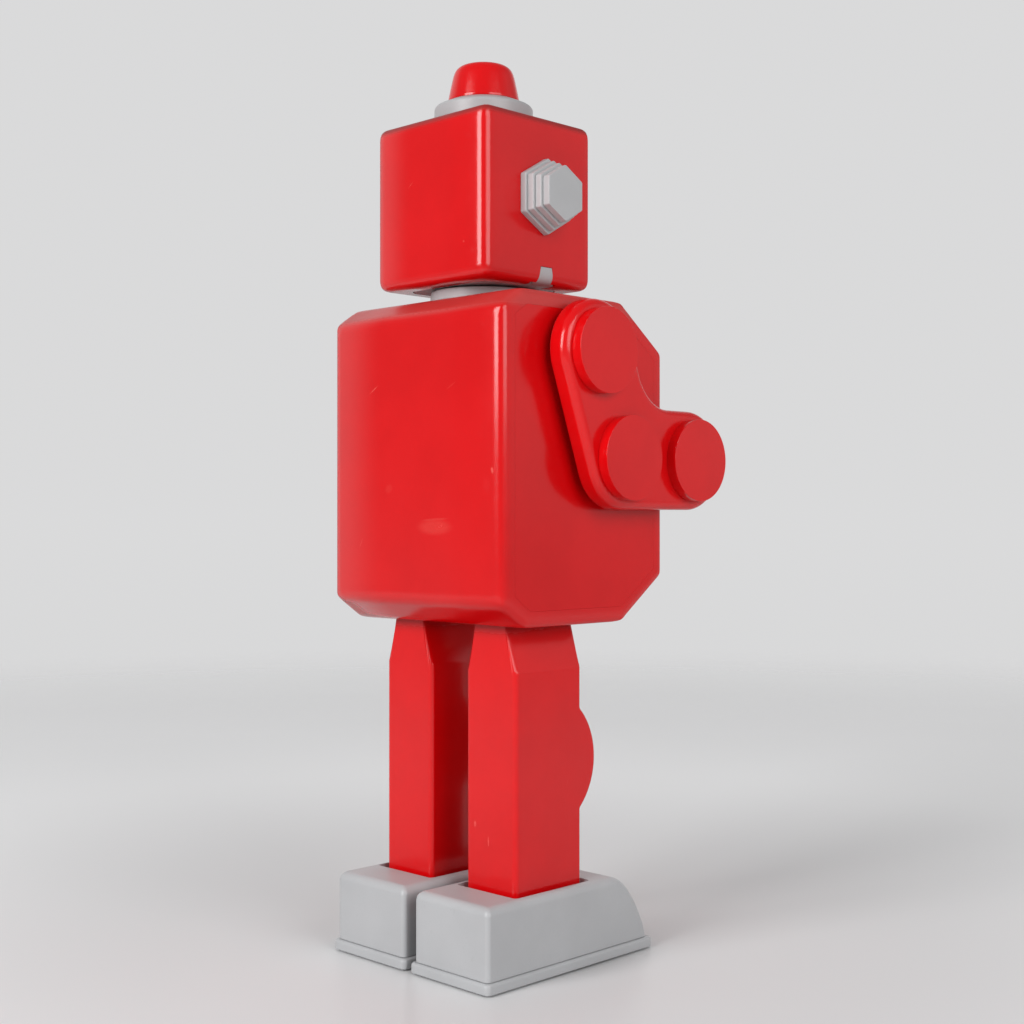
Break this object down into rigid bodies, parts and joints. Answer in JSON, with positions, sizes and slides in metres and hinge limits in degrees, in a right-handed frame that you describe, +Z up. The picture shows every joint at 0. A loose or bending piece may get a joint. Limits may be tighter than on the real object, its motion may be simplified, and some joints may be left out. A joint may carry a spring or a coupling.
{
  "type": "clockwork toy robot",
  "caption": "Upright glossy red clockwork toy robot: square head with grey hexagonal ears, boxy torso, bent arms with discs, straight legs with round knees and grey block feet.",
  "frame": {"origin": "on the floor, under the middle of the robot's bounding box", "axes": "+Z up; the robot faces -Y; its own left side is +X"},
  "size_m": [0.0726, 0.0668, 0.1993],
  "materials": {
    "red_plastic": "glossy red, fine moulding texture",
    "grey_plastic": "satin light grey",
    "steel": "bright rolled steel",
    "brass": "rolled and stamped",
    "spring_steel": "blued",
    "lens": "clear amber",
    "rubber": "moulded",
    "dial": "printed"
  },
  "bodies": {
    "torso": {"torso_shell": "red_plastic", "torso_side_right": "red_plastic", "torso_side_left": "red_plastic", "chest_panel": "grey_plastic", "chest_gauge": "dial", "chest_knob": "red_plastic", "neck_ring": "grey_plastic", "motor_plate_right": "brass", "motor_plate_left": "brass", "motor_pillar_front": "brass", "motor_pillar_top": "brass", "motor_pillar_rear": "brass", "mainspring": "spring_steel", "hip_axle": "steel", "hip_clip": "steel"},
    "head": {"head_shell": "red_plastic", "head_base_plate": "grey_plastic", "neck_post": "steel", "eye_right": "lens", "eye_left": "lens", "mouth_grille": "grey_plastic", "ear_right": "grey_plastic", "ear_left": "grey_plastic", "collar": "grey_plastic", "beacon_cap": "red_plastic"},
    "winding": {"great_wheel": "brass", "winding_arbor": "steel", "click": "steel", "key": "steel"},
    "intermediate": {"intermediate_wheel": "brass"},
    "crank": {"crankshaft": "steel"},
    "governor": {"governor": "steel"},
    "pallet": {"pallet": "brass"},
    "arm_right": {"arm_plate_right": "red_plastic", "shoulder_disc_right": "red_plastic", "elbow_disc_right": "red_plastic", "hand_disc_right": "red_plastic", "shoulder_rivet_right": "steel"},
    "leg_right": {"leg_right": "red_plastic", "drive_lever_right": "steel"},
    "foot_right": {"foot_shell_right": "grey_plastic", "sole_plate_right": "grey_plastic", "ankle_pin_right": "steel", "sole_screw_right": "steel"},
    "roller_front_right": {"roller_front_right": "rubber"},
    "roller_rear_right": {"roller_rear_right": "rubber"},
    "arm_left": {"arm_plate_left": "red_plastic", "shoulder_disc_left": "red_plastic", "elbow_disc_left": "red_plastic", "hand_disc_left": "red_plastic", "shoulder_rivet_left": "steel"},
    "leg_left": {"leg_left": "red_plastic", "drive_lever_left": "steel"},
    "foot_left": {"foot_shell_left": "grey_plastic", "sole_plate_left": "grey_plastic", "ankle_pin_left": "steel", "sole_screw_left": "steel"},
    "roller_front_left": {"roller_front_left": "rubber"},
    "roller_rear_left": {"roller_rear_left": "rubber"}
  },
  "joints": [
    {"name": "head_turn", "type": "hinge", "parent": "torso", "child": "head", "pos_m": [0, 0.01025, 0.147], "axis": [0, 0, 1], "range_deg": [-90, 90]},
    {"name": "arm_right_swing", "type": "hinge", "parent": "torso", "child": "arm_right", "pos_m": [-0.0318, 0.0086, 0.1329], "axis": [-1, 0, 0], "range_deg": [-12, 100]},
    {"name": "arm_left_swing", "type": "hinge", "parent": "torso", "child": "arm_left", "pos_m": [0.0318, 0.0086, 0.1329], "axis": [-1, 0, 0], "range_deg": [-12, 100]},
    {"name": "key_turn", "type": "hinge", "parent": "torso", "child": "winding", "pos_m": [0, -0.001, 0.0875], "axis": [1, 0, 0], "continuous": true},
    {"name": "intermediate_turn", "type": "hinge", "parent": "torso", "child": "intermediate", "pos_m": [0, -0.0025, 0.10033], "axis": [1, 0, 0], "continuous": true},
    {"name": "crank_turn", "type": "hinge", "parent": "torso", "child": "crank", "pos_m": [0, 0.01105, 0.10484], "axis": [1, 0, 0], "continuous": true},
    {"name": "governor_turn", "type": "hinge", "parent": "torso", "child": "governor", "pos_m": [0, 0.0204, 0.11024], "axis": [1, 0, 0], "continuous": true},
    {"name": "pallet_rock", "type": "hinge", "parent": "torso", "child": "pallet", "pos_m": [0, 0.023, 0.11794], "axis": [1, 0, 0], "range_deg": [-6, 6]},
    {"name": "leg_right_swing", "type": "hinge", "parent": "torso", "child": "leg_right", "pos_m": [-0.0128, 0.01105, 0.092], "axis": [1, 0, 0], "range_deg": [-5, 5]},
    {"name": "ankle_right", "type": "hinge", "parent": "leg_right", "child": "foot_right", "pos_m": [-0.0128, 0.01105, 0.011], "axis": [1, 0, 0], "range_deg": [-5, 5]},
    {"name": "roller_front_right_turn", "type": "hinge", "parent": "foot_right", "child": "roller_front_right", "pos_m": [-0.0128, -0.0075, 0.003], "axis": [1, 0, 0], "continuous": true},
    {"name": "roller_rear_right_turn", "type": "hinge", "parent": "foot_right", "child": "roller_rear_right", "pos_m": [-0.0128, 0.0276, 0.003], "axis": [1, 0, 0], "continuous": true},
    {"name": "leg_left_swing", "type": "hinge", "parent": "torso", "child": "leg_left", "pos_m": [0.0128, 0.01105, 0.092], "axis": [1, 0, 0], "range_deg": [-5, 5]},
    {"name": "ankle_left", "type": "hinge", "parent": "leg_left", "child": "foot_left", "pos_m": [0.0128, 0.01105, 0.011], "axis": [1, 0, 0], "range_deg": [-5, 5]},
    {"name": "roller_front_left_turn", "type": "hinge", "parent": "foot_left", "child": "roller_front_left", "pos_m": [0.0128, -0.0075, 0.003], "axis": [1, 0, 0], "continuous": true},
    {"name": "roller_rear_left_turn", "type": "hinge", "parent": "foot_left", "child": "roller_rear_left", "pos_m": [0.0128, 0.0276, 0.003], "axis": [1, 0, 0], "continuous": true}
  ],
  "couplings": [
    {"joint": "intermediate_turn", "follows": "key_turn", "ratio": -2.8},
    {"joint": "crank_turn", "follows": "key_turn", "ratio": 8.96},
    {"joint": "governor_turn", "follows": "key_turn", "ratio": -31.36},
    {"joint": "leg_left_swing", "follows": "leg_right_swing", "ratio": -1},
    {"joint": "ankle_right", "follows": "leg_right_swing", "ratio": -1},
    {"joint": "ankle_left", "follows": "leg_right_swing", "ratio": 1}
  ]
}
